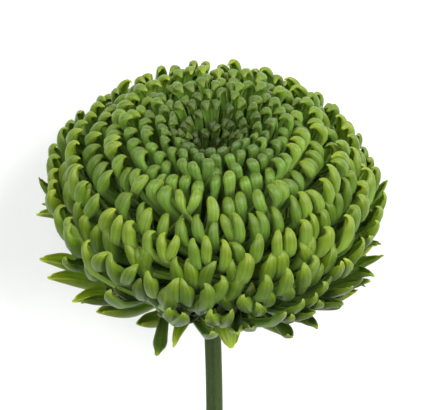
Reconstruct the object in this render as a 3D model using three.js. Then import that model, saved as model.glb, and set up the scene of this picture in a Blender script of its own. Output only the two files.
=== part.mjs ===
// A cut pompon chrysanthemum lying on a flat surface.
//
// The flower is first built in its own frame: +Z runs up the flower's axis from the stem to the face of the head,
// the origin is the middle of the head, and azimuth 0 is +X. Each floret follows a curve in a meridian plane, given
// by its radius from the axis and its height along it. The whole flower is then laid down, facing -Y, so that it
// rests on a few florets and the end of its stem, with its lowest point at z = 0.
//
// Lengths are millimetres and angles are degrees, unless a name says otherwise.
import * as THREE from "three";

// ---- The head's outline: a flattened ball with a hollow in the middle of its face ----
const HEAD_RADIUS = 54.7;
const HEAD_HALF_HEIGHT = 38;
const HOLLOW_DEPTH = 20;
const HOLLOW_RADIUS = 9;

// ---- The receptacle, a dome that the florets grow from, and the stem that it is the top of ----
const DOME_RADIUS = 13;
const DOME_RISE = 10;
const DOME_RIM_HEIGHT = -27;
const DOME_EDGE_ANGLE = 105;
const STEM_TOP_RADIUS = 2.8;
const STEM_END_RADIUS = 3.1;
const STEM_TOP_HEIGHT = -38;
const STEM_LENGTH = 117;
const STEM_BOW = 1.2;
const STEM_CUT_ANGLE = 45;
const STEM_RIBS = 6;
const STEM_RIB_HEIGHT = 0.12;
const STEM_SIDES = 24;
// How the stem widens into the receptacle, as [radius, height].
const STEM_FLARE = [
  [3.1, -36],
  [4.2, -34],
  [7.2, -32.2],
  [10.6, -31.2],
];

// ---- The florets of the head ----
// How many florets each whorl holds, from the centre of the face outwards: twice the Fibonacci numbers.
const WHORL_FLORETS = [16, 26, 42, 42, 68, 68, 68, 68, 68, 68, 68, 68];
const CENTRE_ANGLE = 4;
const CENTRE_SPACING = 2.88;
const SPACING_PER_DEGREE = 0.0558;
const WIDEST_SPACING = 7.02;
// Where a floret's knee, bulge and tip are: how far back from the tip's place along the head's outline, and how deep
// under the outline, both in tip spacings.
const KNEE = { back: 1.45, depth: 0.61 };
const BULGE = { back: 0.55, depth: 0 };
const TIP = { back: 0, depth: 0.2 };
const FLORET_WIDTH = 1.1;
const KNEE_WIDTH = 0.85;
const FLORET_THICKNESS = 1.3;
const FLORET_FILL = 0.84;
const RING_THICKNESS = 0.6;
const RING_RISE = 2;
const FIRST_FOOT_ANGLE = 6.5;
const LAST_FOOT_ANGLE = 96;
const CLEARANCE = 0.3;

// The youngest florets, at the bottom of the hollow: their number, section and path as [radius, height].
const HEART = {
  florets: 8,
  width: 1.8,
  thickness: 0.9,
  path: [
    [3.3, -4],
    [3.5, 6],
    [2.4, 11],
  ],
};

// ---- The loose florets under the head: where each tip is, and how steeply it points up ----
const LOOSE_FOOT_ANGLE = 107;
const LOOSE_THICKNESS = 0.7;
const LOOSE_SECTION_WIDTHS = [1.3, 2.0, 3.6, 5.0, 5.3, 3.2];
const LOOSE_START_DIP = 16;
const LOOSE_FLORETS = [
  { azimuth: -163, radius: 53.73, height: -17, rise: 66 },
  { azimuth: -146, radius: 46, height: -24, rise: 0 },
  { azimuth: -128, radius: 52, height: -18, rise: 45 },
  { azimuth: -110, radius: 50, height: -22, rise: 15 },
  { azimuth: -82, radius: 55.5, height: -16.3, rise: 20 },
  { azimuth: -73, radius: 54.5, height: -17, rise: 25 },
  { azimuth: -62, radius: 49.8, height: -20.5, rise: 5 },
  { azimuth: -52, radius: 46, height: -20.5, rise: 40 },
  { azimuth: -36, radius: 40, height: -22, rise: 50 },
  { azimuth: -21, radius: 33, height: -33, rise: -55 },
  { azimuth: -3, radius: 31, height: -29, rise: 35 },
  { azimuth: 14, radius: 26.5, height: -38, rise: -70 },
  { azimuth: 34, radius: 43, height: -24.5, rise: 10 },
  { azimuth: 47, radius: 45, height: -24, rise: 10 },
  { azimuth: 66, radius: 51, height: -18, rise: 55 },
  { azimuth: 88, radius: 52.5, height: -15, rise: 60 },
  { azimuth: 110, radius: 50, height: -20, rise: 40 },
  { azimuth: 128, radius: 48, height: -24, rise: 5 },
  { azimuth: 146, radius: 50, height: -19, rise: 45 },
  { azimuth: 163, radius: 53.73, height: -17, rise: 66 },
  { azimuth: 180, radius: 51.41, height: -17, rise: 66 },
];

// ---- The bracts pressed against the receptacle's underside: section widths along a path of [radius, height] ----
const BRACTS = 13;
const BRACT_THICKNESS = 0.6;
const BRACT_WIDTHS = [1.6, 2.9, 4.4, 3.0];
const BRACT_PATH = [
  [4.9, -34.6],
  [8.2, -33],
  [12.6, -31.9],
  [17.2, -32.6],
];

// ---- How the flower lies: the axis rises this much towards the face, which is turned this much about the axis ----
const REST_TILT = 18.94;
const REST_ROLL = 0;

const MATERIALS = {
  floret: new THREE.MeshStandardMaterial({ name: "floret", color: 0x7f9f3a, roughness: 0.55, metalness: 0 }),
  bract: new THREE.MeshStandardMaterial({ name: "bract", color: 0x5f8332, roughness: 0.6, metalness: 0 }),
  stem: new THREE.MeshStandardMaterial({ name: "stem", color: 0x5c7043, roughness: 0.6, metalness: 0 }),
};

const radians = THREE.MathUtils.degToRad;
const lerp = THREE.MathUtils.lerp;

// ---- Points and curves in a meridian plane, where x is the radius and y is the height ----

function outlinePoint(angle) {
  const radius = HEAD_RADIUS * Math.sin(radians(angle));
  const hollow = angle < 90 ? HOLLOW_DEPTH * Math.exp(-((radius / HOLLOW_RADIUS) ** 2)) : 0;
  return new THREE.Vector2(radius, HEAD_HALF_HEIGHT * Math.cos(radians(angle)) - hollow);
}

function domePoint(angle, gap = 0) {
  const radius = (DOME_RADIUS + gap) * Math.sin(radians(angle));
  return new THREE.Vector2(radius, DOME_RIM_HEIGHT + (DOME_RISE + gap) * Math.cos(radians(angle)));
}

function tipSpacing(angle) {
  return Math.min(CENTRE_SPACING + SPACING_PER_DEGREE * angle, WIDEST_SPACING);
}

// The angle at which so many florets have found room for their tips, counted from the centre of the face outwards.
function tipAngle(florets) {
  const step = 0.05;
  let angle = CENTRE_ANGLE;
  for (let placed = 0; placed < florets; angle += step) {
    const here = outlinePoint(angle);
    placed += (outlinePoint(angle + step).distanceTo(here) * 2 * Math.PI * here.x) / tipSpacing(angle) ** 2;
  }
  return angle;
}

// The curve of a whorl's florets: off the dome, up inside the head, over the bulge and in to the tip.
function floretCurve(footAngle, angle) {
  const step = 0.2;
  const back = outlinePoint(angle + step).sub(outlinePoint(angle - step)).normalize();
  const inwards = new THREE.Vector2(back.y, -back.x);
  const spacing = tipSpacing(angle);
  const nearTip = [KNEE, BULGE, TIP].map((place) =>
    outlinePoint(angle)
      .addScaledVector(back, place.back * spacing)
      .addScaledVector(inwards, place.depth * spacing),
  );
  return new THREE.SplineCurve([
    domePoint(footAngle, CLEARANCE),
    domePoint(footAngle, CLEARANCE + RING_RISE),
    ...nearTip,
  ]);
}

function heartCurve() {
  return new THREE.SplineCurve([
    domePoint(FIRST_FOOT_ANGLE, CLEARANCE),
    domePoint(FIRST_FOOT_ANGLE, CLEARANCE + RING_RISE),
    ...HEART.path.map(([radius, height]) => new THREE.Vector2(radius, height)),
  ]);
}

function looseCurve({ radius, height, rise }) {
  const foot = domePoint(LOOSE_FOOT_ANGLE, CLEARANCE);
  const tip = new THREE.Vector2(radius, height);
  const reach = tip.distanceTo(foot);
  const heading = (degrees) => new THREE.Vector2(Math.cos(radians(degrees)), Math.sin(radians(degrees)));
  const start = foot.clone().addScaledVector(heading(-LOOSE_START_DIP), reach * 0.45);
  const finish = tip.clone().addScaledVector(heading(rise), -reach * 0.35);
  return new THREE.CubicBezierCurve(foot, start, finish, tip);
}

// The point at a share of a curve, moved by a depth towards its left, which is a floret's inner side.
function atDepth(curve, share, depth) {
  const tangent = curve.getTangent(share);
  return curve.getPoint(share).addScaledVector(new THREE.Vector2(-tangent.y, tangent.x), depth);
}

// The point in space from a point of the meridian plane at an azimuth in radians.
function around({ x: radius, y: height }, azimuth) {
  return new THREE.Vector3(radius * Math.cos(azimuth), radius * Math.sin(azimuth), height);
}

// ---- Solids ----

class SolidBuilder {
  points = [];
  triangles = [];

  point(position) {
    return this.points.push(position) - 1;
  }

  // Adds a face as a fan of triangles, leaving out those with a repeated corner.
  face(...corners) {
    for (let i = 1; i < corners.length - 1; i++) {
      const triangle = [corners[0], corners[i], corners[i + 1]];
      if (new Set(triangle).size === 3) this.triangles.push(...triangle);
    }
  }

  geometry() {
    const geometry = new THREE.BufferGeometry().setFromPoints(this.points);
    geometry.setIndex(this.triangles);
    geometry.computeVertexNormals();
    return geometry;
  }
}

// A loft through rings of equally many points, each counter-clockwise as seen from further on, to a single end point.
function loft(rings, endPoint) {
  const builder = new SolidBuilder();
  const loops = rings.map((ring) => ring.map((position) => builder.point(position)));
  const end = builder.point(endPoint);
  loops.push(loops[0].map(() => end));
  builder.face(...[...loops[0]].reverse());
  for (let i = 1; i < loops.length; i++) {
    loops[i].forEach((_, j) => {
      const next = (j + 1) % loops[i].length;
      builder.face(loops[i - 1][j], loops[i - 1][next], loops[i][next], loops[i][j]);
    });
  }
  return builder.geometry();
}

// Adds the back and the inner side of a floret between two of its sections, and its edges where both are free.
function addStretch(builder, low, high, edges) {
  builder.face(low.leftBack, low.ridge, high.ridge, high.leftBack);
  builder.face(low.ridge, low.rightBack, high.rightBack, high.ridge);
  builder.face(low.rightInner, low.leftInner, high.leftInner, high.rightInner);
  if (!edges) return;
  builder.face(low.leftInner, low.leftBack, high.leftBack, high.leftInner);
  builder.face(low.rightBack, low.rightInner, high.rightInner, high.rightBack);
}

// The back and inner points on the seam between two florets, at each section of the ring that their feet grow in.
function ringSeams(builder, curve, florets, ring) {
  return Array.from({ length: florets }, (_, i) => {
    const azimuth = ((i - 0.5) * 2 * Math.PI) / florets;
    return ring.map(({ share, thickness }) => ({
      back: builder.point(around(atDepth(curve, share, 0), azimuth)),
      inner: builder.point(around(atDepth(curve, share, thickness), azimuth)),
    }));
  });
}

// A section above the ring: a ridge along the back, and an edge to each side that lies further in.
function freeSection(builder, curve, azimuth, widest, { share, thickness, width }) {
  const middle = atDepth(curve, share, thickness);
  const half = Math.min(width / 2 / middle.x, widest / 2);
  const left = builder.point(around(middle, azimuth - half));
  const right = builder.point(around(middle, azimuth + half));
  const ridge = builder.point(around(atDepth(curve, share, 0), azimuth));
  return { leftBack: left, leftInner: left, ridge, rightBack: right, rightInner: right };
}

// One whorl: florets side by side, grown together at their feet into a ring.
function whorlGeometry(curve, florets, { ring, free }) {
  const builder = new SolidBuilder();
  const pitch = (2 * Math.PI) / florets;
  const seams = ringSeams(builder, curve, florets, ring);
  for (let i = 0; i < florets; i++) {
    const azimuth = i * pitch;
    const [left, right] = [seams[i], seams[(i + 1) % florets]];
    const [foot, collar] = ring.map(({ share }, j) => ({
      leftBack: left[j].back,
      leftInner: left[j].inner,
      ridge: builder.point(around(atDepth(curve, share, 0), azimuth)),
      rightBack: right[j].back,
      rightInner: right[j].inner,
    }));
    const above = free.map((section) => freeSection(builder, curve, azimuth, pitch * FLORET_FILL, section));
    const tip = builder.point(around(curve.getPoint(1), azimuth));
    above.push({ leftBack: tip, leftInner: tip, ridge: tip, rightBack: tip, rightInner: tip });
    builder.face(foot.ridge, foot.leftBack, foot.leftInner, foot.rightInner, foot.rightBack);
    addStretch(builder, foot, collar, false);
    above.forEach((section, j) => addStretch(builder, j ? above[j - 1] : collar, section, true));
  }
  return builder.geometry();
}

// The sections of a whorl's florets at the points that their curve runs through.
function floretSections(thickness, width) {
  return {
    ring: [
      { share: 0, thickness: RING_THICKNESS },
      { share: 0.25, thickness: RING_THICKNESS },
    ],
    free: [
      { share: 0.5, thickness, width: width * KNEE_WIDTH },
      { share: 0.75, thickness, width },
    ],
  };
}

// A loose floret: a channelled strap whose foot is at azimuth 0 and whose tip is a lean in degrees further round.
function looseFloretGeometry(curve, lean) {
  const rings = LOOSE_SECTION_WIDTHS.map((width, i) => {
    const share = i / LOOSE_SECTION_WIDTHS.length;
    const trough = Math.min(width * 0.3, 1.5);
    const place = (across, depth) => {
      const middle = atDepth(curve, share, depth);
      return around(middle, radians(lean) * share + (across * width) / 2 / middle.x);
    };
    const edge = trough + LOOSE_THICKNESS / 2;
    return [place(0, 0), place(0.7, trough / 5), place(1, edge), place(0, LOOSE_THICKNESS), place(-1, edge),
      place(-0.7, trough / 5)];
  });
  return loft(rings, around(atDepth(curve, 1, LOOSE_THICKNESS), radians(lean)));
}

// A bract: a thin scale with a ridge along its underside.
function bractGeometry() {
  const curve = new THREE.SplineCurve(BRACT_PATH.map(([radius, height]) => new THREE.Vector2(radius, height)));
  const rings = BRACT_WIDTHS.map((width, i) => {
    const middle = curve.getPoint(i / BRACT_WIDTHS.length);
    const half = width / 2 / middle.x;
    const below = (depth) => new THREE.Vector2(middle.x, middle.y - depth);
    return [
      around(below(BRACT_THICKNESS), 0),
      around(below(BRACT_THICKNESS / 2), half),
      around(below(0), 0),
      around(below(BRACT_THICKNESS / 2), -half),
    ];
  });
  return loft(rings, around(curve.getPoint(1), 0));
}

// The stem with its receptacle: ribbed, a little bowed, and cut on a slant at its end.
function stemGeometry() {
  const bottom = STEM_TOP_HEIGHT - STEM_LENGTH;
  const slope = Math.tan(radians(STEM_CUT_ANGLE));
  const ring = (radius, height, ribs, slant) => {
    const bow = STEM_BOW * Math.sin((Math.PI * Math.max(STEM_TOP_HEIGHT - height, 0)) / STEM_LENGTH);
    return Array.from({ length: STEM_SIDES }, (_, i) => {
      const angle = (i / STEM_SIDES) * 2 * Math.PI;
      const point = around({ x: radius + ribs * Math.cos(STEM_RIBS * angle), y: height }, angle);
      return point.setZ(height + slant * slope * (point.x + STEM_END_RADIUS)).add(new THREE.Vector3(0, bow, 0));
    });
  };
  const stations = 9;
  const shaft = Array.from({ length: stations }, (_, i) => {
    const share = i / (stations - 1);
    const radius = lerp(STEM_END_RADIUS, STEM_TOP_RADIUS, share);
    return ring(radius, lerp(bottom, STEM_TOP_HEIGHT, share), STEM_RIB_HEIGHT, i === 0 ? 1 : 0);
  });
  const flare = STEM_FLARE.map(([radius, height]) => ring(radius, height, 0, 0));
  const dome = [1, 0.86, 0.68, 0.48, 0.26].map((share) => domePoint(DOME_EDGE_ANGLE * share));
  const rings = [...shaft, ...flare, ...dome.map((point) => ring(point.x, point.y, 0, 0))];
  return loft(rings, around(domePoint(0), 0));
}

// ---- Assembly ----

// A named piece, turned about the flower's axis by an azimuth in degrees.
function piece(name, geometry, material, azimuth = 0) {
  const mesh = new THREE.Mesh(geometry, material);
  mesh.name = name;
  mesh.rotation.z = radians(azimuth);
  return mesh;
}

const numbered = (name, index) => `${name}_${String(index + 1).padStart(2, "0")}`;

function buildWhorls() {
  const whorls = new THREE.Group();
  let inside = 0;
  WHORL_FLORETS.forEach((florets, index) => {
    const angle = tipAngle(inside + florets / 2);
    inside += florets;
    const footAngle = lerp(FIRST_FOOT_ANGLE, LAST_FOOT_ANGLE, (index + 1) / WHORL_FLORETS.length);
    const sections = floretSections(FLORET_THICKNESS, tipSpacing(angle) * FLORET_WIDTH);
    const geometry = whorlGeometry(floretCurve(footAngle, angle), florets, sections);
    const halfPitch = 180 / florets;
    whorls.add(piece(numbered("floret_whorl", index), geometry, MATERIALS.floret, (index % 2) * halfPitch));
  });
  return whorls;
}

function buildLooseFlorets() {
  const loose = new THREE.Group();
  LOOSE_FLORETS.forEach((floret, index) => {
    const footAzimuth = LOOSE_FLORETS[0].azimuth + (index * 360) / LOOSE_FLORETS.length;
    const geometry = looseFloretGeometry(looseCurve(floret), floret.azimuth - footAzimuth);
    loose.add(piece(numbered("loose_floret", index), geometry, MATERIALS.floret, footAzimuth));
  });
  return loose;
}

function buildBracts() {
  const bracts = new THREE.Group();
  const geometry = bractGeometry();
  for (let i = 0; i < BRACTS; i++) {
    bracts.add(piece(numbered("bract", i), geometry, MATERIALS.bract, (i * 360) / BRACTS));
  }
  return bracts;
}

function buildFlower() {
  const heart = whorlGeometry(heartCurve(), HEART.florets, floretSections(HEART.thickness, HEART.width));
  const flower = new THREE.Group();
  flower.add(piece("stem_with_receptacle", stemGeometry(), MATERIALS.stem));
  flower.add(piece("heart_florets", heart, MATERIALS.floret));
  flower.add(buildWhorls(), buildLooseFlorets(), buildBracts());
  return flower;
}

// Lays the flower down, with the middle of its footprint at the origin and its lowest point at z = 0.
function layDown(flower) {
  flower.rotation.set(radians(90 - REST_TILT), 0, radians(90 + REST_ROLL));
  flower.updateMatrixWorld(true);
  const box = new THREE.Box3().setFromObject(flower, true);
  const middle = box.getCenter(new THREE.Vector3());
  flower.position.set(-middle.x, -middle.y, -box.min.z);
  const laid = new THREE.Group();
  laid.add(flower);
  return laid;
}

export default layDown(buildFlower());
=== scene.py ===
"""A cut pompon chrysanthemum, lying on a pale table with its face towards -Y.

The flower is modelled in its own frame, in millimetres: +Z runs along its axis from the stem to the face of the
head, the origin is the middle of the head and azimuth 0 is +X. A floret is first bent in a meridian plane, where x is
the distance from the axis and y the height, then turned to its place in the head and laid down with the flower.
"""

import logging
import math
import random
from dataclasses import dataclass, field
from enum import Enum

import bpy
import numpy as np
from mathutils import Matrix, Vector


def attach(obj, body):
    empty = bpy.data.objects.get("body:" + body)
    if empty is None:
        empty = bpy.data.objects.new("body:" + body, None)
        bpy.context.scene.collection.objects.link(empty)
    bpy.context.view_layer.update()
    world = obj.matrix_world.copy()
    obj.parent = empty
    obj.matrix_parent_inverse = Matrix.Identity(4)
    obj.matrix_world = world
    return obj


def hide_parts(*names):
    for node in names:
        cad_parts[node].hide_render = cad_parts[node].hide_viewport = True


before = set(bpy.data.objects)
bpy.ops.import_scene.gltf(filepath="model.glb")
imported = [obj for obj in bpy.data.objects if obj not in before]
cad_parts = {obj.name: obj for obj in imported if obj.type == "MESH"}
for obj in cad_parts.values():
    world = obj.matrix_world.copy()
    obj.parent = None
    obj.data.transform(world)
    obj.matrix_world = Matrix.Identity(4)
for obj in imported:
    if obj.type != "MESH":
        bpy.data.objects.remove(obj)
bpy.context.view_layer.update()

LOG = logging.getLogger("pompon")

MM = 0.001
SEED = 20

# How the flower lies: the rise of its axis towards the face, and where the middle of the head is.
REST_TILT = math.radians(18.94)
HEAD_CENTRE = Vector((0.0, -52.804, 53.457))
FLOWER_TO_TABLE = (
    Matrix.Scale(MM, 4)
    @ Matrix.Translation(HEAD_CENTRE)
    @ Matrix.Rotation(math.pi / 2 - REST_TILT, 4, "X")
    @ Matrix.Rotation(math.pi / 2, 4, "Z")
)
# A meridian plane's x, y and z become the flower's radius, height and a step back round the axis.
PLANE_TO_FLOWER = Matrix.Rotation(math.pi / 2, 4, "X")


# ---- Working with Blender ----


def shade_smooth(piece: bpy.types.Object) -> None:
    """Shades all of an object's faces smooth."""
    piece.data.polygons.foreach_set("use_smooth", [True] * len(piece.data.polygons))


def deselect_all() -> None:
    """Leaves nothing selected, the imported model's nodes included."""
    if bpy.context.object and bpy.context.object.mode != "OBJECT":
        bpy.ops.object.mode_set(mode="OBJECT")
    bpy.ops.object.select_all(action="DESELECT")


def make_active(piece: bpy.types.Object) -> None:
    """Selects one object alone and makes it the active one."""
    deselect_all()
    piece.select_set(True)
    bpy.context.view_layer.objects.active = piece


def select_vertices(mesh: bpy.types.Mesh, chosen: list[bool]) -> None:
    """Selects the chosen vertices of the mesh being edited, and nothing else."""
    bpy.ops.object.mode_set(mode="OBJECT")
    mesh.polygons.foreach_set("select", [False] * len(mesh.polygons))
    mesh.edges.foreach_set("select", [False] * len(mesh.edges))
    mesh.vertices.foreach_set("select", chosen)
    bpy.ops.object.mode_set(mode="EDIT")


def apply_modifier(piece: bpy.types.Object, kind: str, **settings: object) -> None:
    """Adds a modifier to the active object and applies it.

    Args:
        piece: the object, which is active.
        kind: the modifier's type.
        settings: its settings.
    """
    modifier = piece.modifiers.new(kind.title(), kind)
    for name, value in settings.items():
        setattr(modifier, name, value)
    bpy.ops.object.modifier_apply(modifier=modifier.name)


def join_pieces(pieces: list[bpy.types.Object], name: str) -> bpy.types.Object:
    """Joins objects into the first of them.

    Args:
        pieces: the objects, each with its place in its mesh.
        name: the name of the joined object.

    Returns:
        The joined object, which is active.
    """
    deselect_all()
    for piece in pieces:
        piece.select_set(True)
    bpy.context.view_layer.objects.active = pieces[0]
    if len(pieces) > 1:
        bpy.ops.object.join()
    pieces[0].name = name
    pieces[0].data.name = name
    return pieces[0]


def rising(value: float, start: float, reach: float) -> float:
    """How far a value has come from a start over a reach, from 0 to 1."""
    return min(max((value - start) / reach, 0.0), 1.0)


def wobble(draw: random.Random, spread: float) -> float:
    """A small difference either way, which is never over two and a half times its usual size."""
    return draw.triangular(-2.45 * spread, 2.45 * spread)


def press_on_table(piece: bpy.types.Object, clearance: float = 0.15 * MM, give: float = 1.5 * MM) -> None:
    """Flattens what would reach into the table, as petals give way where the flower rests on them.

    Args:
        piece: the finished object.
        clearance: the height that nothing goes below.
        give: the height under which the flattening begins.
    """
    coords = np.empty(len(piece.data.vertices) * 3)
    piece.data.vertices.foreach_get("co", coords)
    heights = coords[2::3]
    low = heights < give
    room = give - clearance
    heights[low] = clearance + room * np.exp((heights[low] - give) / room)
    coords[2::3] = heights
    piece.data.vertices.foreach_set("co", coords)
    piece.data.update()


# ---- Finishes ----


def linear(colour: str) -> tuple[float, float, float, float]:
    """Turns an sRGB hex colour into the linear colour that nodes take."""
    channels = [int(colour[i : i + 2], 16) / 255 for i in (1, 3, 5)]
    return (*[c / 12.92 if c <= 0.04045 else ((c + 0.055) / 1.055) ** 2.4 for c in channels], 1.0)


def add_node(tree: bpy.types.NodeTree, kind: str, links: dict | None = None, **settings: object) -> bpy.types.Node:
    """Adds a node with its settings and links.

    Args:
        tree: the material's node tree.
        kind: the node's type.
        links: what feeds each input, by the input's name or number: an output socket to link, or a value to set.
        settings: the node's own settings.

    Returns:
        The new node.
    """
    node = tree.nodes.new(kind)
    for name, value in settings.items():
        setattr(node, name, value)
    for place, value in (links or {}).items():
        if isinstance(value, bpy.types.NodeSocket):
            tree.links.new(value, node.inputs[place])
        else:
            node.inputs[place].default_value = value
    return node


def blank_material(name: str) -> bpy.types.Material:
    """Makes a material with an empty node tree."""
    material = bpy.data.materials.new(name)
    material.use_nodes = True
    material.node_tree.nodes.clear()
    return material


def set_ramp(node: bpy.types.Node, stops: list[tuple[float, str]]) -> None:
    """Sets a colour ramp's stops from places and sRGB hex colours."""
    stops_now = node.color_ramp.elements
    while len(stops_now) < len(stops):
        stops_now.new(0.5)
    for stop, (place, colour) in zip(stops_now, stops):
        stop.position = place
        stop.color = linear(colour)


@dataclass(frozen=True)
class PetalFinish:
    """Fresh petal skin: waxy cells in long rows, which give a satin sheen broken up by fine lines along the petal.

    The colour runs from the foot to the tip: paler at the foot, as real florets are, and painted lighter there still
    to lift the shade in the gaps; the pale tip is partly a real bloom and partly a painted highlight. It varies at
    random from one floret to the next, with painted shade on the loosest, deep, hollow and heart florets and painted
    light on the loose florets under the head, and painted shade makes it darker in the grooves.
    """

    name: str
    foot: str
    middle: str
    tip: str
    pale: str
    groove: str
    roughness: float
    line_strength: float
    translucency: float

    def build(self) -> bpy.types.Material:
        """Makes the material.

        Returns:
            The material, which reads the petal's UV map and its tone attribute.
        """
        material = blank_material(self.name)
        tree = material.node_tree
        uv = add_node(tree, "ShaderNodeUVMap", uv_map="UVMap")
        axes = add_node(tree, "ShaderNodeSeparateXYZ", {0: uv.outputs[0]})
        # Along the floret: paler at the foot, as real florets are, and painted lighter there still to lift the shade
        # in the gaps; the pale tip is partly the real bloom and partly a painted highlight.
        along = add_node(tree, "ShaderNodeValToRGB", {0: axes.outputs[0]})
        set_ramp(along, [(0.1, self.foot), (0.42, self.middle), (0.78, self.tip), (1.0, self.pale)])
        # Each floret's tone: a random share, lowered by painted shade on the loosest, hollow, deep and heart florets
        # and raised by painted light on the loose florets under the head. It sets the value, and turns the hue a
        # little greener where it is low.
        tone = add_node(tree, "ShaderNodeAttribute", attribute_name="tone")
        mottle = add_node(tree, "ShaderNodeTexCoord")
        # Patches of paler and darker green some 6 mm across.
        patches = add_node(
            tree, "ShaderNodeTexNoise", {"Vector": mottle.outputs["Object"], "Scale": 1 / (6 * MM), "Detail": 2.0}
        )
        shade = add_node(
            tree, "ShaderNodeMath", {0: tone.outputs["Fac"], 1: patches.outputs[0]}, operation="ADD"
        )
        value = add_node(
            tree, "ShaderNodeMapRange", {0: shade.outputs[0], "From Min": -1.3, "From Max": 1.7, "To Min": 0.29,
                                         "To Max": 1.22}
        )
        hue = add_node(
            tree, "ShaderNodeMapRange", {0: tone.outputs["Fac"], "From Min": 0.0, "From Max": 1.0, "To Min": 0.512,
                                         "To Max": 0.49}
        )
        toned = add_node(
            tree, "ShaderNodeHueSaturation", {"Color": along.outputs[0], "Value": value.outputs[0],
                                              "Hue": hue.outputs[0]}
        )
        # Painted shade in the two shallow grooves along the back, which makes them darker than the ridges beside them.
        grooves = add_node(tree, "ShaderNodeValToRGB", {0: axes.outputs[1]})
        set_ramp(grooves, [(0.26, "#ffffff"), (0.37, "#e7ecdd"), (0.46, "#ffffff"), (0.54, "#ffffff"),
                           (0.63, "#e7ecdd"), (0.74, "#ffffff")])
        shaded_in_grooves = add_node(
            tree, "ShaderNodeMix", {"Factor": 1.0, "A": toned.outputs[0], "B": grooves.outputs[0]},
            data_type="RGBA", blend_type="MULTIPLY"
        )
        # Fine lines along the petal, about 0.35 mm apart across a petal of 5 mm.
        lines = add_node(
            tree, "ShaderNodeTexWave", {"Vector": uv.outputs[0], "Scale": 2.2, "Distortion": 2.5, "Detail": 2.0,
                                        "Detail Scale": 1.5}, wave_type="BANDS", bands_direction="Y"
        )
        lined = add_node(
            tree, "ShaderNodeMix", {"Factor": 0.0, "A": shaded_in_grooves.outputs[2], "B": linear(self.groove)},
            data_type="RGBA", blend_type="MULTIPLY"
        )
        tree.links.new(lines.outputs[0], lined.inputs["Factor"])
        bump = add_node(
            tree, "ShaderNodeBump", {"Height": lines.outputs[0], "Strength": self.line_strength,
                                     "Distance": 0.06 * MM}
        )
        shader = add_node(
            tree, "ShaderNodeBsdfPrincipled", {
                "Base Color": lined.outputs[2], "Roughness": self.roughness, "IOR": 1.42,
                "Subsurface Weight": self.translucency, "Subsurface Radius": (1.0, 1.0, 0.2),
                "Subsurface Scale": 1.2 * MM, "Sheen Weight": 0.04, "Normal": bump.outputs[0]}
        )
        add_node(tree, "ShaderNodeOutputMaterial", {"Surface": shader.outputs[0]})
        return material


@dataclass(frozen=True)
class StemFinish:
    """Fresh green stem: matt, with fine grooves along it and a real grey down, whose sheen is painted paler at its
    edges as seen from the camera.
    """

    name: str = "fresh_downy_stem"
    green: str = "#2c4012"
    dark: str = "#1a2708"
    # The grey of the down, painted as a sheen where the stem is seen edge-on.
    down: str = "#546535"

    def build(self) -> bpy.types.Material:
        """Makes the material.

        Returns:
            The material, which reads Object coordinates.
        """
        material = blank_material(self.name)
        tree = material.node_tree
        coords = add_node(tree, "ShaderNodeTexCoord")
        lie = add_node(
            tree, "ShaderNodeMapping", {"Vector": coords.outputs["Object"],
                                        "Rotation": (REST_TILT, 0.0, 0.0), "Scale": (1.0, 0.06, 1.0)}
        )
        # Fibres 0.5 mm apart, drawn out along the stem.
        fibres = add_node(
            tree, "ShaderNodeTexNoise", {"Vector": lie.outputs[0], "Scale": 1 / (0.5 * MM), "Detail": 3.0}
        )
        skin = add_node(tree, "ShaderNodeValToRGB", {0: fibres.outputs[0]})
        set_ramp(skin, [(0.35, self.dark), (0.65, self.green)])
        # Painted sheen: where the stem is seen edge-on, its skin turns to the grey of its down.
        rim = add_node(tree, "ShaderNodeLayerWeight", {"Blend": 0.35})
        down_edge_sheen = add_node(
            tree, "ShaderNodeMix", {"Factor": 0.0, "A": skin.outputs[0], "B": linear(self.down)}, data_type="RGBA"
        )
        tree.links.new(rim.outputs["Facing"], down_edge_sheen.inputs["Factor"])
        bump = add_node(
            tree, "ShaderNodeBump", {"Height": fibres.outputs[0], "Strength": 0.5, "Distance": 0.15 * MM}
        )
        shader = add_node(
            tree, "ShaderNodeBsdfPrincipled", {"Base Color": down_edge_sheen.outputs[2], "Roughness": 0.7, "IOR": 1.3,
                                               "Sheen Weight": 0.03, "Sheen Roughness": 0.5,
                                               "Normal": bump.outputs[0]}
        )
        add_node(tree, "ShaderNodeOutputMaterial", {"Surface": shader.outputs[0]})
        return material


@dataclass(frozen=True)
class TableFinish:
    """Matt white laminate: pressed with a fine pebbled grain, so that it catches no reflections."""

    name: str = "matt_white_laminate"
    white: str = "#f8f8f6"
    shade: str = "#f3f3f1"

    def build(self) -> bpy.types.Material:
        """Makes the material."""
        material = blank_material(self.name)
        tree = material.node_tree
        coords = add_node(tree, "ShaderNodeTexCoord")
        # Cloudy shades some 80 mm across, and pebbles of 0.8 mm.
        clouds = add_node(
            tree, "ShaderNodeTexNoise", {"Vector": coords.outputs["Object"], "Scale": 1 / (80 * MM), "Detail": 3.0}
        )
        skin = add_node(tree, "ShaderNodeValToRGB", {0: clouds.outputs[0]})
        set_ramp(skin, [(0.3, self.shade), (0.7, self.white)])
        pebbles = add_node(
            tree, "ShaderNodeTexNoise", {"Vector": coords.outputs["Object"], "Scale": 1 / (0.8 * MM), "Detail": 1.0}
        )
        bump = add_node(
            tree, "ShaderNodeBump", {"Height": pebbles.outputs[0], "Strength": 0.1, "Distance": 0.05 * MM}
        )
        shader = add_node(
            tree, "ShaderNodeBsdfPrincipled", {"Base Color": skin.outputs[0], "Roughness": 0.8,
                                               "Normal": bump.outputs[0]}
        )
        add_node(tree, "ShaderNodeOutputMaterial", {"Surface": shader.outputs[0]})
        return material


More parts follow.
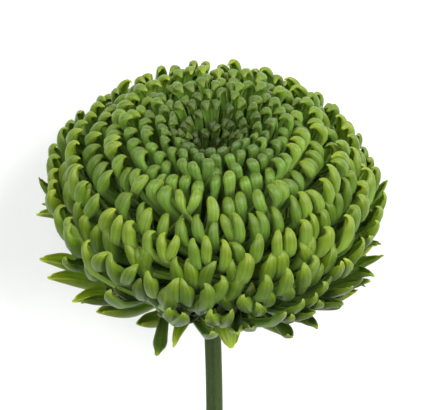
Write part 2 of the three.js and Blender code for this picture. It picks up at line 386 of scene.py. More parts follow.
# The foot colours are pale, as real florets are at the foot, and painted lighter still to lift the shade in the gaps
# between florets; the pale colours at the tip are partly real bloom and partly painted highlight.
FLORET_BACK = PetalFinish(
    name="floret_back_skin", foot="#7d9c44", middle="#5d740c", tip="#728212", pale="#95a03a", groove="#eaf2d0",
    roughness=0.46, line_strength=0.5, translucency=0.6,
)
FLORET_INNER = PetalFinish(
    name="floret_inner_skin", foot="#7a9a3e", middle="#68891a", tip="#879e1c", pale="#a6b636", groove="#dfeb9c",
    roughness=0.5, line_strength=0.4, translucency=0.6,
)


# ---- The form of the head ----


@dataclass(frozen=True)
class HeadForm:
    """The head's outline and the receptacle's dome, as points (distance from the axis, height)."""

    radius: float = 54.7
    half_height: float = 38.0
    hollow_depth: float = 20.0
    hollow_radius: float = 9.0
    centre_angle: float = 4.0
    centre_spacing: float = 3.0
    spacing_per_degree: float = 0.068
    widest_spacing: float = 5.9
    # The share of their spacing that florets of a turn give up where they stand closest.
    closing: float = 0.22
    dome_radius: float = 13.0
    dome_rise: float = 10.0
    dome_rim_height: float = -27.0

    def outline(self, angle: float) -> Vector:
        """The outline's point at an angle in degrees from the axis."""
        distance = self.radius * math.sin(math.radians(angle))
        hollow = self.hollow_depth * math.exp(-((distance / self.hollow_radius) ** 2)) if angle < 90 else 0.0
        return Vector((distance, self.half_height * math.cos(math.radians(angle)) - hollow))

    def back(self, angle: float) -> Vector:
        """The direction along the outline away from the face, as it would be with no hollow."""
        turn = math.radians(angle)
        return Vector((self.radius * math.cos(turn), -self.half_height * math.sin(turn))).normalized()

    def spacing(self, angle: float) -> float:
        """The distance between floret tips at an angle."""
        return min(self.centre_spacing + self.spacing_per_degree * angle, self.widest_spacing)

    def dome(self, angle: float) -> Vector:
        """The receptacle's point at an angle in degrees from the axis."""
        turn = math.radians(angle)
        return Vector((self.dome_radius * math.sin(turn), self.dome_rim_height + self.dome_rise * math.cos(turn)))

    def pitch(self, angle: float) -> float:
        """How far each floret of a turn is from the next: closer than the turns are, half way up the face."""
        closer = rising(angle, 10, 30) - 1.15 * rising(angle, 48, 14)
        return self.spacing(angle) * (1 - self.closing * closer)

    def spiral(self, first: float, last: float) -> list[tuple[float, float]]:
        """Lays out the tips along one tight spiral.

        Args:
            first: the angle at which it starts, in degrees.
            last: the angle at which it ends.

        Returns:
            Each tip's angle in degrees and its azimuth in radians, from the middle of the face outwards.
        """
        angle, azimuth = first, 0.0
        tips = []
        while angle < last:
            tips.append((angle, azimuth))
            here = self.outline(angle)
            azimuth += self.pitch(angle) / here.x
            angle += self.spacing(angle) ** 2 / (2 * math.pi * here.x) / self.stretch(angle)
        return tips

    def stretch(self, angle: float) -> float:
        """How many millimetres a degree is along the outline."""
        return (self.outline(angle + 0.1) - self.outline(angle)).length / 0.1

    def settle(self, tips: list[tuple[float, float]], rounds: int = 14) -> list[tuple[float, float]]:
        """Lets tips that stand too close push each other apart, as growing florets do.

        Args:
            tips: each tip's angle in degrees and its azimuth in radians.
            rounds: how many times they push.

        Returns:
            The tips' new places.
        """
        angles, azimuths = np.array(tips).T
        for _ in range(rounds):
            steps = np.array([self.spacing(a) / self.stretch(a) for a in angles])
            turns = np.array([self.pitch(a) / self.outline(a).x for a in angles])
            along = (angles[:, None] - angles) / steps[:, None]
            across = ((azimuths[:, None] - azimuths + np.pi) % (2 * np.pi) - np.pi) / turns[:, None]
            apart = np.hypot(along, across) + np.eye(len(angles)) * 9
            push = 0.3 * np.clip(1.05 - apart, 0, None) / apart
            angles = np.clip(angles + (push * along).sum(1) * steps, self.centre_angle, None)
            azimuths = azimuths + (push * across).sum(1) * turns
        return list(zip(angles.tolist(), azimuths.tolist()))

    def crowded(self, tips: list[tuple[float, float]], room: float = 0.98) -> list[bool]:
        """Finds the tips that the ones before them leave too little room, whose florets lie deeper.

        Args:
            tips: each tip's angle in degrees and its azimuth in radians.
            room: the distance that is too little, in tip spacings.

        Returns:
            Whether each tip is crowded.
        """
        free: list[tuple[float, float]] = []
        found = []
        for angle, azimuth in tips:
            radius, pitch = self.outline(angle).x, self.pitch(angle)
            height = angle * self.stretch(angle) / self.spacing(angle)
            close = any(
                abs(height - level) < room
                and math.hypot(height - level, math.remainder(azimuth - side, math.tau) * radius / pitch) < room
                for level, side in free
            )
            found.append(close)
            if not close:
                free.append((height, azimuth))
        return found


FORM = HeadForm()


# ---- Florets ----


class TipShape(Enum):
    """How a floret ends."""

    ROUNDED = "rounded"
    NOTCHED = "notched"
    POINTED = "pointed"


@dataclass
class FloretPattern:
    """A flat pattern of a floret, with its back up, that each floret is cut from.

    Its x counts the rows from the foot to the tip, and its width is 2.
    """

    tip: TipShape
    widths: tuple[float, ...] = (0.5, 0.84, 1.03, 1.05, 0.84, 0.56, 0.4, 0.26)
    # For each column from the middle to the edge: its place across, and how far it lies under the back's ridge.
    columns: tuple[tuple[float, float], ...] = ((0.0, 0.0), (0.34, 0.17), (0.7, 0.15), (1.02, 0.75), (0.86, 1.6))
    piece: bpy.types.Object = field(init=False)

    def build(self) -> None:
        """Models the pattern from a grid."""
        rows = len(self.widths) - 1
        sides = len(self.columns) - 1
        deselect_all()
        bpy.ops.mesh.primitive_grid_add(x_subdivisions=rows, y_subdivisions=2 * sides, size=2, calc_uvs=True)
        self.piece = bpy.context.object
        self.piece.name = f"floret_pattern_{self.tip.value}"
        bpy.ops.object.mode_set(mode="EDIT")
        bpy.ops.mesh.select_all(action="SELECT")
        bpy.ops.transform.resize(value=(rows / 2, 1, 1), center_override=(0, 0, 0))
        bpy.ops.transform.translate(value=(rows / 2, 0, 0))
        bpy.ops.object.mode_set(mode="OBJECT")
        self.shape_channel(sides)
        self.shape_tip(rows, sides)
        self.shape_outline()
        bpy.ops.object.mode_set(mode="OBJECT")
        self.piece.data.transform(Matrix.Rotation(math.pi / 2, 4, "X"))

    def shape_channel(self, sides: int) -> None:
        """Moves the columns of the grid into a channel with three low ridges along its back."""
        mesh = self.piece.data
        across = [round(v.co.y * sides) for v in mesh.vertices]
        for column, (place, depth) in enumerate(self.columns):
            for side in (-1, 1) if column else (1,):
                select_vertices(mesh, [column * side == a for a in across])
                shift = side * (place - column / sides)
                bpy.ops.transform.translate(value=(0, shift, -depth))

    def shape_tip(self, rows: int, sides: int) -> None:
        """Moves the middle and the corners of the last rows to give the tip its shape."""
        middle, corner = {
            TipShape.ROUNDED: (0.12, -0.45),
            TipShape.NOTCHED: (-0.22, -0.35),
            TipShape.POINTED: (0.34, -0.5),
        }[self.tip]
        mesh = self.piece.data
        last = [round(v.co.x) == rows for v in mesh.vertices]
        edge = [abs(v.co.y) > 0.8 for v in mesh.vertices]
        centre = [abs(v.co.y) < 0.1 for v in mesh.vertices]
        select_vertices(mesh, [a and b for a, b in zip(last, centre)])
        bpy.ops.transform.translate(value=(middle, 0, 0))
        select_vertices(mesh, [a and b for a, b in zip(last, edge)])
        bpy.ops.transform.translate(value=(corner, 0, 0))

    def shape_outline(self) -> None:
        """Scales each row of the grid to its width."""
        mesh = self.piece.data
        nearest = [min(round(v.co.x), len(self.widths) - 1) for v in mesh.vertices]
        for row, width in enumerate(self.widths):
            select_vertices(mesh, [row == n for n in nearest])
            bpy.ops.transform.resize(value=(1, width, width), center_override=(row, 0, 0))


@dataclass
class FloretCutter:
    """Cuts florets from the patterns and bends each along its own path."""

    # How far each row of the pattern is from the tip, in tip spacings. The foot comes first.
    rows: tuple[float, ...] = (9.0, 2.7, 1.75, 1.2, 0.76, 0.42, 0.17, 0.0)
    path_steps: int = 6
    patterns: dict[TipShape, FloretPattern] = field(default_factory=dict)
    path: bpy.types.Object = field(init=False)

    def build(self) -> None:
        """Models a pattern for each shape of tip, and the path that florets are bent along."""
        for tip in TipShape:
            self.patterns[tip] = FloretPattern(tip)
            self.patterns[tip].build()
        curve = bpy.data.curves.new("floret_path", "CURVE")
        self.path = bpy.data.objects.new("floret_path", curve)
        bpy.context.collection.objects.link(self.path)

    def trace(self, points: list[Vector]) -> float:
        """Lays the path smoothly through points of the meridian plane.

        Args:
            points: the points, from the foot to the tip.

        Returns:
            The path's length.
        """
        ends = [points[0] * 2 - points[1], *points, points[-1] * 2 - points[-2]]
        smooth = []
        for i in range(1, len(ends) - 2):
            a, b, c, d = ends[i - 1 : i + 3]
            for step in range(self.path_steps):
                t = step / self.path_steps
                smooth.append(
                    0.5 * (2 * b + (c - a) * t + (2 * a - 5 * b + 4 * c - d) * t**2 + (3 * b - 3 * c + d - a) * t**3)
                )
        smooth.append(points[-1])
        curve = self.path.data
        curve.splines.clear()
        curve.dimensions = "2D"
        spline = curve.splines.new("POLY")
        spline.points.add(len(smooth) - 1)
        for place, point in zip(spline.points, smooth):
            place.co = (point.x, point.y, 0, 1)
        return sum((b - a).length for a, b in zip(smooth, smooth[1:]))

    def cut(
        self, tip: TipShape, points: list[Vector], spacing: float, width: float, cup: float, tone: float,
        place: Matrix, sway: float = 0.0, taper: float = 1.0,
    ) -> bpy.types.Object:
        """Cuts one floret and puts it in its place.

        Args:
            tip: the shape of its tip.
            points: its path from foot to tip, in its meridian plane.
            spacing: the length that its rows are counted in.
            width: its full width.
            cup: how deeply it is channelled, where 1 is half as deep as wide.
            tone: its tone: 0 to 1 at random for most, less where painted shade darkens it and more where painted light
                brightens it.
            place: the matrix from the meridian plane to the table.
            sway: how far its tip bends to one side, in tip spacings.
            taper: how long its end tapers, where 1 is as in the pattern.

        Returns:
            The floret, an open sheet with its back outwards.
        """
        length = self.trace(points)
        floret = self.patterns[tip].piece.copy()
        floret.data = floret.data.copy()
        bpy.context.collection.objects.link(floret)
        coords = np.empty(len(floret.data.vertices) * 3)
        floret.data.vertices.foreach_get("co", coords)
        last = len(self.rows) - 1
        row = np.clip(np.rint(coords[0::3]), 0, last).astype(int)
        reach = length - np.array(self.rows) * spacing * taper
        reach[0] = 0.0
        reach[1] = max(reach[1], reach[2] * 0.5)
        coords[0::3] = reach[row] + (coords[0::3] - row) * spacing * taper * 0.45 + 0.8 * sway * spacing * coords[2::3]
        coords[1::3] *= width / 2 * cup
        bent = np.clip((coords[0::3] - length) / (1.6 * spacing) + 1, 0, None)
        coords[2::3] = coords[2::3] * width / 2 + sway * spacing * bent**2
        floret.data.vertices.foreach_set("co", coords)
        make_active(floret)
        apply_modifier(floret, "CURVE", object=self.path, deform_axis="POS_X")
        floret.data.transform(place)
        shade = floret.data.attributes.new("tone", "FLOAT", "POINT")
        shade.data.foreach_set("value", [tone] * len(floret.data.vertices))
        return floret

    def clear(self) -> None:
        """Removes the patterns and the path."""
        for pattern in self.patterns.values():
            bpy.data.objects.remove(pattern.piece)
        bpy.data.objects.remove(self.path)


def finish_florets(
    florets: list[bpy.types.Object], name: str, node: str, thickness: float, skins: list[bpy.types.Material]
) -> bpy.types.Object:
    """Joins florets into a piece, gives them their thickness, and puts the piece in the place of its node.

    Args:
        florets: the florets, as open sheets.
        name: the piece's name.
        node: the node that it stands for.
        thickness: the petals' thickness in metres.
        skins: the materials of the back and the inner side.

    Returns:
        The finished piece.
    """
    piece = join_pieces(florets, name)
    piece.data.materials.clear()
    for skin in skins:
        piece.data.materials.append(skin)
    apply_modifier(
        piece, "SOLIDIFY", thickness=thickness, offset=-1, material_offset=1, material_offset_rim=0, use_rim=True
    )
    apply_modifier(piece, "SUBSURF", levels=1, render_levels=1)
    shade_smooth(piece)
    press_on_table(piece)
    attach(piece, "root")
    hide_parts(node)
    return piece


@dataclass(frozen=True)
class LooseFloret:
    """One floret that lies freely: where its tip is, how it points and how broad it is."""

    azimuth: float
    radius: float
    height: float
    rise: float
    width: float = 5.4
    cup: float = 0.8
    tip: TipShape = TipShape.ROUNDED
    # The angle of its foot on the receptacle, and how far it dips as it leaves it, in degrees.
    foot_angle: float = 107.0
    start_dip: float = 16.0

    def path(self) -> list[Vector]:
        """Lays out its path, as points from the foot to the tip."""
        foot = FORM.dome(self.foot_angle)
        tip = Vector((self.radius, self.height))
        reach = (tip - foot).length

        def heading(degrees: float) -> Vector:
            """The direction at an angle above level."""
            return Vector((math.cos(math.radians(degrees)), math.sin(math.radians(degrees))))

        start = foot + heading(-self.start_dip) * reach * 0.45
        finish = tip - heading(self.rise) * reach * 0.35
        shares = [i / 6 for i in range(7)]
        return [
            foot * (1 - t) ** 3 + start * 3 * t * (1 - t) ** 2 + finish * 3 * t**2 * (1 - t) + tip * t**3
            for t in shares
        ]

    def cut(self, cutter: FloretCutter, spacing: float, tone: float) -> bpy.types.Object:
        """Cuts it.

        Args:
            cutter: what cuts it.
            spacing: the length that its rows are counted in.
            tone: its shade.

        Returns:
            The floret, as an open sheet.
        """
        turn = Matrix.Rotation(math.radians(self.azimuth), 4, "Z")
        place = FLOWER_TO_TABLE @ turn @ PLANE_TO_FLOWER
        return cutter.cut(self.tip, self.path(), spacing, self.width, self.cup, tone, place)


@dataclass
class FloretHead:
    """The whorls of the head: florets along one tight spiral, each incurved over the head."""

    cutter: FloretCutter
    skins: list[bpy.types.Material]
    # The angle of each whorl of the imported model, whose florets are those nearest to it.
    whorl_angles: tuple[float, ...] = (5.5, 8.3, 12.6, 19.1, 26.9, 36.2, 45.7, 56.2, 68.5, 82.9, 97.6, 112.3)
    first_angle: float = 4.6
    last_angle: float = 114.0
    thickness: float = 0.5 * MM
    # A floret's width as a share of its room, and how much deeper the crowded and the short ones lie, in tip spacings.
    width: float = 0.8
    young_breadth: float = 0.17
    crowded_depth: tuple[float, float] = (0.4, 0.8)
    short_depth: tuple[float, float] = (1.5, 2.3)
    # The share of florets that are short on the open sides, and among the loosest ones elsewhere.
    short_share: float = 0.95
    loose_short_share: float = 0.3
    first_foot: float = 6.5
    last_foot: float = 96.0
    # Florets stand upright up to the first angle, and are fully incurved from the second.
    upright_to: float = 12.0
    curled_from: float = 40.0
    # Below this angle the florets loosen: more of them open out, and more stay short.
    loose_from: float = 68.0
    loose_to: float = 106.0
    # Where the lowest whorls stay short: an azimuth, how far it reaches to either side, and the angle where it starts.
    open_sides: tuple[tuple[float, float, float], ...] = ((-56.0, 40.0, 73.0), (4.0, 24.0, 99.0))

    # A floret that stands straight out of a whorl, by the whorl's number, and the length its rows are counted in.
    strays: tuple[tuple[int, LooseFloret], ...] = (
        (10, LooseFloret(-80, 56, 4, 2, width=4.6, cup=1.1, tip=TipShape.NOTCHED, foot_angle=86)),
    )
    stray_spacing: float = 7.1
    # Painted shade: how much darker than others the loosest florets low on the head, those at the bottom of the
    # hollow, and deep ones are painted, for the shade that falls on them.
    loose_painted_shade: float = 1.3
    hollow_painted_shade: float = 2.5
    deep_painted_shade: float = 0.5
    hollow_angle: float = 30.0

    def looseness(self, angle: float) -> float:
        """How loose the head is at an angle of the outline, from 0 in the face to 1 at its lowest florets."""
        return rising(angle, self.loose_from, self.loose_to - self.loose_from)

    def breadth(self, angle: float) -> float:
        """How much broader than usual the florets at an angle are: the young ones of the face fill more room."""
        return 1 + self.young_breadth * rising(50 - angle, 0, 20)

    def short(self, angle: float, azimuth: float) -> float:
        """The share of florets that are too short to reach a place of the outline.

        Args:
            angle: the place's angle on the outline, in degrees.
            azimuth: its azimuth in radians.

        Returns:
            The share, from 0 to 1.
        """
        for side, reach, start in self.open_sides:
            away = abs((math.degrees(azimuth) - side + 180) % 360 - 180)
            if away < reach and angle > start + 5 * (away / reach) ** 2:
                return self.short_share
        return self.loose_short_share * self.looseness(angle)

    def path(self, angle: float, foot: float, depth: float, draw: random.Random) -> list[Vector]:
        """Lays out a floret's path.

        Args:
            angle: the angle of its tip on the outline, in degrees.
            foot: the angle of its foot on the receptacle, in degrees.
            depth: how much deeper than the outline it lies, in tip spacings.
            draw: the source of its small differences.

        Returns:
            Points from the foot to the tip.
        """
        spacing = FORM.spacing(angle)
        back = FORM.back(angle)
        inwards = Vector((back.y, -back.x))
        loose = self.looseness(angle)
        proud = 0.12 + wobble(draw, 0.1 + 0.1 * loose) - depth
        hook = draw.uniform(0.1, 0.35)
        openness = draw.uniform(0.0, 0.15) + draw.uniform(0.1, 1.0) * min(1.0, 1.4 * loose) / (1 + 2 * depth)
        standing = ((0.75, 2.0), (0.66, 0.85), (0.45, 0.1), (0.12, -0.06), (-0.25, 0.26), (-0.42, 0.8))
        curled = ((2.5, 2.1), (1.65, 1.0), (1.0, 0.26), (0.42, -0.06), (0.02, 0.06), (-0.08, 0.18 + hook))
        opened = ((2.2, 1.6), (1.5, 0.9), (0.95, 0.4), (0.5, 0.02), (0.2, -0.2), (0.05, -0.5))
        lying = rising(angle, self.upright_to, self.curled_from - self.upright_to)

        def near(distance: float, depth: float) -> Vector:
            """A point near the tip, from its distance back along the outline and its depth, in spacings."""
            return FORM.outline(angle) + back * distance * spacing + inwards * (depth - proud) * spacing

        longer = 1 + 0.25 * rising(52 - angle, 0, 20)
        ends = []
        for upright, incurved, open_out in zip(standing, curled, opened):
            bent = Vector((incurved[0] * longer, incurved[1]))
            bent = Vector(upright).lerp(bent, lying).lerp(Vector(open_out), openness)
            ends.append(near(bent.x, bent.y))
        start = FORM.dome(foot)
        return [start, start.lerp(ends[0], 0.5), *ends]

    def place(self, angle: float, azimuth: float, draw: random.Random) -> Matrix:
        """Turns a floret to its place: round the axis, and a little about its own length.

        Args:
            angle: the angle of its tip on the outline, in degrees.
            azimuth: its azimuth in radians.
            draw: the source of its small differences.

        Returns:
            The matrix from the meridian plane to the table.
        """
        middle = PLANE_TO_FLOWER @ FORM.outline(angle).to_3d()
        back = FORM.back(angle)
        outwards = PLANE_TO_FLOWER @ Vector((-back.y, back.x, 0.0))
        spread = math.radians(4 + 4 * min(angle, 60) / 60)
        lean = Matrix.Rotation(wobble(draw, spread), 4, outwards)
        roll = Matrix.Rotation(wobble(draw, 2 * spread), 4, PLANE_TO_FLOWER @ back.to_3d())
        turn = Matrix.Translation(middle) @ lean @ roll @ Matrix.Translation(-middle)
        return FLOWER_TO_TABLE @ Matrix.Rotation(azimuth, 4, "Z") @ turn @ PLANE_TO_FLOWER

    def build(self) -> None:
        """Builds the whorls from the middle of the face outwards."""
        draw = random.Random(SEED)
        tips = FORM.settle(FORM.spiral(self.first_angle, self.last_angle))
        crowded = FORM.crowded(tips)
        whorls: list[list[int]] = [[] for _ in self.whorl_angles]
        for number, (angle, _) in enumerate(tips):
            nearest = min(range(len(whorls)), key=lambda whorl: abs(self.whorl_angles[whorl] - angle))
            whorls[nearest].append(number)
        for whorl, numbers in enumerate(whorls, 1):
            florets = []
            for number in numbers:
                angle, azimuth = tips[number]
                foot = self.first_foot + (self.last_foot - self.first_foot) * (number + 0.5) / len(tips)
                angle += wobble(draw, 0.12) * FORM.spacing(angle)
                azimuth += wobble(draw, 0.08) * FORM.spacing(angle) / max(FORM.outline(angle).x, 5)
                depth = draw.uniform(*self.crowded_depth) * min(angle / 30, 1.0) if crowded[number] else 0.0
                if draw.random() < self.short(angle, azimuth):
                    depth = draw.uniform(*self.short_depth)
                florets.append(self.floret(angle, azimuth, foot, depth, draw))
            for place, stray in self.strays:
                if place == whorl:
                    florets.append(stray.cut(self.cutter, self.stray_spacing, draw.random()))
            name = f"whorl_{whorl:02d}_florets"
            finish_florets(florets, name, f"floret_whorl_{whorl:02d}", self.thickness, self.skins)
            LOG.info("%s: %d florets", name, len(florets))

    def floret(self, angle: float, azimuth: float, foot: float, depth: float, draw: random.Random) -> bpy.types.Object:
        """Cuts one floret.

        Args:
            angle: the angle of its tip on the outline, in degrees.
            azimuth: its azimuth in radians.
            foot: the angle of its foot on the receptacle, in degrees.
            depth: how much deeper than the outline it lies, in tip spacings.
            draw: the source of its small differences.

        Returns:
            The floret, as an open sheet.
        """
        loose = self.looseness(angle)
        # Painted shade lowers the random tone: on the loosest florets low on the head, in the hollow and on florets
        # lying deeper.
        shade = self.loose_painted_shade * loose
        hollow = self.hollow_painted_shade * max(1 - angle / self.hollow_angle, 0.0)
        return self.cutter.cut(
            draw.choice([TipShape.ROUNDED, TipShape.ROUNDED, TipShape.NOTCHED, TipShape.POINTED]),
            self.path(angle, foot, depth, draw),
            FORM.spacing(angle),
            width=self.width * FORM.pitch(angle) * draw.uniform(0.84, 1.08) * self.breadth(angle),
            cup=draw.uniform(0.9, 1.25) * (1 - 0.45 * loose),
            tone=draw.uniform(0.0, 1.0) - shade - hollow - self.deep_painted_shade * depth,
            place=self.place(angle, azimuth, draw),
            sway=wobble(draw, 0.07 + 0.13 * min(angle, 60) / 60 + 0.14 * loose),
            taper=0.6 + 0.4 * rising(angle, 20, 40),
        )


@dataclass
class FloretHeart:
    """The youngest florets, standing close together at the bottom of the hollow."""

    cutter: FloretCutter
    skins: list[bpy.types.Material]
    count: int = 8
    width: float = 1.9
    thickness: float = 0.4 * MM
    spacing: float = 3.2
    foot_angle: float = 6.5
    # How much darker than others they are painted: painted shade at the bottom of the hollow.
    shade: float = 1.2

    def build(self) -> None:
        """Builds the heart."""
        draw = random.Random(SEED + 1)
        florets = []
        for i in range(self.count):
            rise = draw.uniform(-1.5, 2.0)
            points = [
                FORM.dome(self.foot_angle), Vector((3.2, -4)), Vector((3.5, 4 + rise)),
                Vector((3.3, 8 + rise)), Vector((2.2, 11 + rise)),
            ]
            turn = Matrix.Rotation(2 * math.pi * i / self.count, 4, "Z")
            florets.append(
                self.cutter.cut(
                    TipShape.POINTED, points, self.spacing, self.width, cup=1.0,
                    tone=draw.random() - self.shade, place=FLOWER_TO_TABLE @ turn @ PLANE_TO_FLOWER,
                )
            )
        finish_florets(florets, "heart_floret_tuft", "heart_florets", self.thickness, self.skins)
        LOG.info("heart: %d florets", self.count)


@dataclass
class LooseFlorets:
    """The loose florets under the head."""

    cutter: FloretCutter
    skins: list[bpy.types.Material]
    thickness: float = 0.55 * MM
    # The length that their rows are counted in.
    spacing: float = 7.2
    # Their tone, raised above the head's florets: painted light on florets that lie in the shade under the head.
    tone: tuple[float, float] = (1.3, 1.7)
    florets: tuple[LooseFloret, ...] = (
        LooseFloret(-163, 53.73, -17, 66),
        LooseFloret(-146, 46, -24, 0),
        LooseFloret(-128, 52, -18, 45),
        LooseFloret(-110, 50, -22, 15),
        LooseFloret(-82, 55.5, -16.3, 20, width=7.0, cup=0.6),
        LooseFloret(-73, 54.5, -17, 25, width=6.2),
        LooseFloret(-62, 49.8, -20.5, 5, width=6.0),
        LooseFloret(-52, 46, -20.5, 40, width=6.5),
        LooseFloret(-36, 40, -22, 50, width=6.0),
        LooseFloret(-21, 33, -33, -55, width=4.6, cup=0.5),
        LooseFloret(-3, 31, -29, 35, width=5.0),
        LooseFloret(14, 26.5, -38, -66, width=10.5, cup=0.3),
        LooseFloret(34, 43, -24.5, 10),
        LooseFloret(47, 45, -24, 10),
        LooseFloret(66, 51, -18, 55),
        LooseFloret(88, 52.5, -15, 60),
        LooseFloret(110, 50, -20, 40),
        LooseFloret(128, 48, -24, 5),
        LooseFloret(146, 50, -19, 45),
        LooseFloret(163, 53.73, -17, 66),
        LooseFloret(180, 51.41, -17, 66),
    )

    def build(self) -> None:
        """Builds each loose floret as a piece of its own."""
        draw = random.Random(SEED + 2)
        for i, floret in enumerate(self.florets):
            sheet = floret.cut(self.cutter, self.spacing, draw.uniform(*self.tone))
            name = f"loose_floret_{i + 1:02d}"
            finish_florets([sheet], f"{name}_petal", name, self.thickness, self.skins)
        LOG.info("loose florets: %d", len(self.florets))


# ---- The stem and the bracts ----


@dataclass
class Stem:
    """The stem and the receptacle that its top swells into, grown as one."""

    skin: bpy.types.Material
    sides: int = 48
    ribs: int = 6
    rib_height: float = 0.13
    length: float = 117.0
    top_height: float = -38.0
    top_radius: float = 2.8
    end_radius: float = 3.1
    bow: float = 1.2
    cut_angle: float = 45.0
    flare: tuple[tuple[float, float], ...] = ((3.1, -36), (4.2, -34), (7.2, -32.2), (10.6, -31.2))
    dome: tuple[float, ...] = (105.0, 90.3, 71.4, 50.4, 27.3, 10.0)

    def stations(self) -> list[tuple[float, float]]:
        """The radius and height of each ring, from the cut end to the top of the dome."""
        steps = 14
        shaft = [
            (
                self.end_radius + (self.top_radius - self.end_radius) * i / steps,
                self.top_height - self.length * (1 - i / steps),
            )
            for i in range(steps + 1)
        ]
        return [*shaft, *self.flare, *[tuple(FORM.dome(angle)) for angle in self.dome]]

    def build(self) -> None:
        """Extrudes the stem from its cut end ring by ring, then bows it, ribs it and cuts it on a slant."""
        rings = self.stations()
        deselect_all()
        bpy.ops.mesh.primitive_circle_add(
            vertices=self.sides, radius=rings[0][0], fill_type="NGON", location=(0, 0, rings[0][1])
        )
        piece = bpy.context.object
        bpy.ops.object.transform_apply(location=True)
        bpy.ops.object.mode_set(mode="EDIT")
        bpy.ops.mesh.select_all(action="SELECT")
        radius, height = rings[0]
        for next_radius, next_height in rings[1:]:
            bpy.ops.mesh.extrude_region_move(TRANSFORM_OT_translate={"value": (0, 0, next_height - height)})
            scale = next_radius / radius
            bpy.ops.transform.resize(value=(scale, scale, 1), center_override=(0, 0, next_height))
            radius, height = next_radius, next_height
        bpy.ops.mesh.select_all(action="SELECT")
        bpy.ops.mesh.normals_make_consistent(inside=False)
        bpy.ops.object.mode_set(mode="OBJECT")
        self.grow(piece)
        piece.data.transform(FLOWER_TO_TABLE)
        make_active(piece)
        apply_modifier(piece, "SUBSURF", levels=1, render_levels=1)
        shade_smooth(piece)
        piece.data.materials.append(self.skin)
        piece.name = "stem_skin"
        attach(piece, "root")
        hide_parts("stem_with_receptacle")
        LOG.info("stem: %.0f mm", self.length)

    def grow(self, piece: bpy.types.Object) -> None:
        """Gives the shaft its ribs, its slight bow and its slanted cut.

        Args:
            piece: the straight, round stem.
        """
        slope = math.tan(math.radians(self.cut_angle))
        bottom = self.top_height - self.length
        for vertex in piece.data.vertices:
            x, y, height = vertex.co
            if height > self.top_height + 0.1:
                continue
            turn = math.atan2(y, x)
            rib = 1 + self.rib_height * math.cos(self.ribs * turn) / self.end_radius
            vertex.co.x, vertex.co.y = x * rib, y * rib
            if height < bottom + 0.1:
                vertex.co.z += slope * (x + self.end_radius)
            vertex.co.y += self.bow * math.sin(math.pi * (self.top_height - height) / self.length)


@dataclass
class Bracts:
    """The green bracts pressed against the receptacle's underside."""

    skins: list[bpy.types.Material]
    count: int = 13
    thickness: float = 0.5 * MM
    widths: tuple[float, ...] = (1.7, 2.9, 4.0, 4.4, 3.6, 1.4)
    path: tuple[tuple[float, float], ...] = (
        (4.9, -34.7), (7.4, -33.4), (10.2, -32.4), (12.8, -31.9), (15.2, -32.1), (17.2, -32.6),
    )

    def build(self) -> None:
        """Models one bract, and copies it round the stem."""
        rows = len(self.widths) - 1
        deselect_all()
        bpy.ops.mesh.primitive_grid_add(x_subdivisions=rows, y_subdivisions=4, size=2, calc_uvs=True)
        pattern = bpy.context.object
        mesh = pattern.data
        row = [round((v.co.x + 1) * rows / 2) for v in mesh.vertices]
        for i, (width, (distance, height)) in enumerate(zip(self.widths, self.path)):
            select_vertices(mesh, [r == i for r in row])
            place = -1 + 2 * i / rows
            bpy.ops.transform.translate(value=(distance - place, 0, height))
            bpy.ops.transform.resize(value=(1, width / 2, 1), center_override=(distance, 0, height))
        bpy.ops.object.mode_set(mode="OBJECT")
        draw = random.Random(SEED + 3)
        for i in range(self.count):
            bract = pattern.copy()
            bract.data = mesh.copy()
            bpy.context.collection.objects.link(bract)
            turn = Matrix.Rotation(2 * math.pi * i / self.count, 4, "Z")
            bract.data.transform(FLOWER_TO_TABLE @ turn)
            shade = bract.data.attributes.new("tone", "FLOAT", "POINT")
            shade.data.foreach_set("value", [draw.random()] * len(bract.data.vertices))
            make_active(bract)
            apply_modifier(bract, "SOLIDIFY", thickness=self.thickness, offset=-1)
            apply_modifier(bract, "SUBSURF", levels=1, render_levels=1)
            shade_smooth(bract)
            bract.data.materials.clear()
            bract.data.materials.append(self.skins[0])
            bract.name = f"bract_{i + 1:02d}_scale"
            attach(bract, "root")
            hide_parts(f"bract_{i + 1:02d}")
        bpy.data.objects.remove(pattern)
        LOG.info("bracts: %d", self.count)


# ---- The studio ----


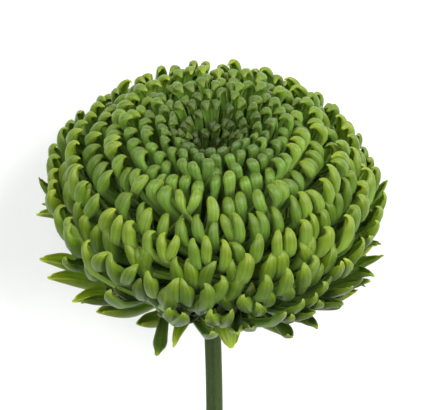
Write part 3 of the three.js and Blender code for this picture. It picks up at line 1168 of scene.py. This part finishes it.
@dataclass
class Studio:
    """The table, the lights and the camera, which looks down on the flower."""

    table_finish: TableFinish
    camera_rise: float = math.radians(40.0)
    distance: float = 900.0
    frame_width: int = 422
    pixels_per_mm: float = 3.145
    sensor: float = 36.0

    def build(self) -> None:
        """Builds the studio."""
        self.lay_table()
        self.light()
        self.place_camera()
        LOG.info("studio")

    def lay_table(self) -> None:
        """Lays the table top under the flower."""
        deselect_all()
        bpy.ops.mesh.primitive_plane_add(size=6.0, location=(0, 0, 0))
        table = bpy.context.object
        table.name = "table_top"
        table.data.materials.append(self.table_finish.build())

    def light(self) -> None:
        """Hangs a large soft light to each side of the camera, and fills from all round."""
        world = bpy.data.worlds.new("pale_studio")
        bpy.context.scene.world = world
        world.use_nodes = True
        background = world.node_tree.nodes["Background"]
        background.inputs["Color"].default_value = linear("#f4f7fb")
        background.inputs["Strength"].default_value = 0.44
        self.add_softbox("right_softbox", (0.6, 0.15, 0.75), 0.75, 14.0)
        self.add_softbox("left_softbox", (-0.4, 0.15, 0.9), 0.75, 9.0)

    def view(self) -> tuple[Vector, Vector, Vector]:
        """The directions to the right and up in the picture, and towards the camera."""
        axis = FLOWER_TO_TABLE.to_3x3().normalized() @ Vector((0, 0, 1))
        upwards = FLOWER_TO_TABLE.to_3x3().normalized() @ Vector((1, 0, 0))
        towards = (upwards * math.cos(self.camera_rise) + axis * math.sin(self.camera_rise)).normalized()
        up = (axis - towards * axis.dot(towards)).normalized()
        return up.cross(towards), up, towards

    def add_softbox(self, name: str, heading: tuple[float, float, float], size: float, power: float) -> None:
        """Adds a square light that looks at the head.

        Args:
            name: the light's name.
            heading: where it hangs from the head, to the right, up and towards the camera, in metres.
            size: its side in metres.
            power: its power in watts.
        """
        place = HEAD_CENTRE * MM + sum((side * way for side, way in zip(self.view(), heading)), Vector())
        lamp = bpy.data.lights.new(name, "AREA")
        lamp.energy = power
        lamp.size = size
        piece = bpy.data.objects.new(name, lamp)
        piece.location = place
        piece.rotation_euler = (place - HEAD_CENTRE * MM).to_track_quat("Z", "Y").to_euler()
        bpy.context.collection.objects.link(piece)

    def place_camera(self) -> None:
        """Points the camera at the middle of the head, with the stem running down out of the picture."""
        right, up, towards = self.view()
        lens = bpy.data.cameras.new("camera")
        lens.sensor_width = self.sensor
        lens.lens = self.pixels_per_mm * self.distance / self.frame_width * self.sensor
        lens.clip_start = 0.05
        camera = bpy.data.objects.new("camera", lens)
        turn = Matrix((right, up, towards)).transposed().to_4x4()
        camera.matrix_world = Matrix.Translation((HEAD_CENTRE + towards * self.distance) * MM) @ turn
        bpy.context.collection.objects.link(camera)
        bpy.context.scene.camera = camera


def main() -> None:
    """Builds the studio and the flower."""
    logging.basicConfig(level=logging.INFO, format="%(message)s")
    bpy.context.scene.view_settings.view_transform = "Standard"
    Studio(TableFinish()).build()
    skins = [FLORET_BACK.build(), FLORET_INNER.build()]
    cutter = FloretCutter()
    cutter.build()
    FloretHead(cutter, skins).build()
    FloretHeart(cutter, skins).build()
    LooseFlorets(cutter, skins).build()
    cutter.clear()
    Bracts(skins).build()
    Stem(StemFinish().build()).build()


if __name__ == "__main__":
    main()
